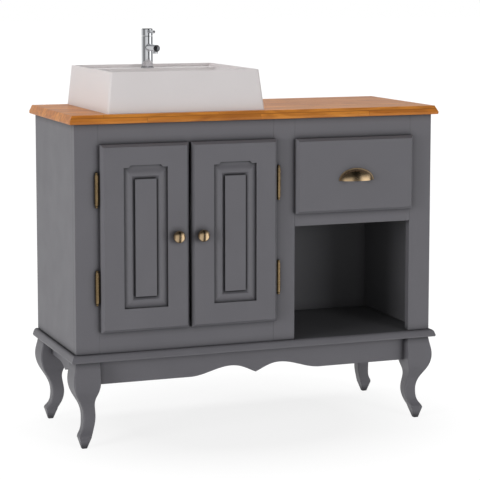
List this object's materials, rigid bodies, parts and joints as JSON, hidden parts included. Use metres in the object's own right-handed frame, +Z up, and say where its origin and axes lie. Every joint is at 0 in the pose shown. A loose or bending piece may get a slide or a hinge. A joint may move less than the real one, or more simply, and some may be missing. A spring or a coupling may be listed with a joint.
{
  "type": "vessel sink on vanity",
  "caption": "Painted bathroom vanity on cabriole legs with routed doors, a drawer over an open niche, a wooden worktop, a rectangular ceramic vessel basin and a single lever tap",
  "frame": {"origin": "on the floor, below the middle of the box round the whole object", "axes": "+X to the right as seen from the front, +Y towards the wall, +Z up"},
  "size_m": [1.03, 0.446, 1.0705],
  "materials": {
    "painted_grey": "satin grey paint on wood",
    "carcass_dark": "matt dark grey paint on board",
    "worktop_wood": "satin varnish on glued staves",
    "drawer_birch": "clear lacquer",
    "white_ceramic": "gloss glaze",
    "tap_chrome": "polished chrome plate",
    "aged_brass": "antique brass with dark patina",
    "fitting_brass": "plain machined brass",
    "runner_steel": "zinc plated",
    "catch_plastic": "moulded"
  },
  "bodies": {
    "vanity": {"base_panel": "carcass_dark", "left_side_panel": "painted_grey", "right_side_panel": "painted_grey", "left_stile": "painted_grey", "middle_stile": "painted_grey", "right_stile": "painted_grey", "door_top_rail": "painted_grey", "door_bottom_rail": "painted_grey", "drawer_top_rail": "painted_grey", "drawer_bottom_rail": "painted_grey", "hinge_strips": "painted_grey", "partition_panel": "carcass_dark", "niche_ceiling": "carcass_dark", "runner_blocks": "carcass_dark", "back_panel": "carcass_dark", "back_rail": "carcass_dark", "front_apron": "painted_grey", "back_apron": "painted_grey", "left_apron": "painted_grey", "right_apron": "painted_grey", "front_left_leg": "painted_grey", "front_right_leg": "painted_grey", "back_left_leg": "painted_grey", "back_right_leg": "painted_grey", "corner_blocks": "carcass_dark", "front_moulding": "painted_grey", "left_moulding": "painted_grey", "right_moulding": "painted_grey", "hinge_frame_leaves": "aged_brass", "hinge_pins": "aged_brass", "magnetic_catch": "catch_plastic", "runner_outer_members": "runner_steel", "worktop": "worktop_wood", "basin": "white_ceramic", "tap_body": "tap_chrome", "tap_spout": "tap_chrome", "tap_aerator": "tap_chrome", "tap_fixing_nut": "fitting_brass", "drain_body": "tap_chrome", "drain_nut": "fitting_brass", "drain_tailpiece": "tap_chrome"},
    "left_door": {"left_door": "painted_grey", "left_knob": "aged_brass", "left_door_hinge_leaves": "aged_brass", "left_door_strike": "runner_steel"},
    "right_door": {"right_door": "painted_grey", "right_knob": "aged_brass", "right_door_hinge_leaves": "aged_brass", "right_door_strike": "runner_steel"},
    "drawer": {"drawer_front": "painted_grey", "drawer_left_side": "drawer_birch", "drawer_right_side": "drawer_birch", "drawer_back": "drawer_birch", "drawer_bottom": "drawer_birch", "cup_pull": "aged_brass", "runner_inner_members": "runner_steel"},
    "runner_slider": {"runner_middle_members": "runner_steel"},
    "tap_lever_handle": {"tap_handle": "tap_chrome", "tap_lever": "tap_chrome"},
    "drain_plug": {"drain_plug": "tap_chrome"}
  },
  "joints": [
    {"name": "left_door_hinge", "type": "hinge", "parent": "vanity", "child": "left_door", "pos_m": [-0.44425, -0.1823, 0.5475], "axis": [0, 0, -1], "range_deg": [0, 110]},
    {"name": "right_door_hinge", "type": "hinge", "parent": "vanity", "child": "right_door", "pos_m": [0.05375, -0.1823, 0.5475], "axis": [0, 0, 1], "range_deg": [0, 90]},
    {"name": "drawer_slide", "type": "slide", "parent": "vanity", "child": "drawer", "axis": [0, -1, 0], "range_m": [0, 0.28]},
    {"name": "runner_slide", "type": "slide", "parent": "vanity", "child": "runner_slider", "axis": [0, -1, 0], "range_m": [0, 0.14]},
    {"name": "tap_turn", "type": "hinge", "parent": "vanity", "child": "tap_lever_handle", "pos_m": [-0.1936, 0.173, 1.0605], "axis": [0, 0, 1], "range_deg": [0, 90]},
    {"name": "plug_lift", "type": "slide", "parent": "vanity", "child": "drain_plug", "axis": [0, 0, 1], "range_m": [0, 0.008]}
  ],
  "couplings": [
    {"joint": "runner_slide", "follows": "drawer_slide", "ratio": 0.5}
  ]
}
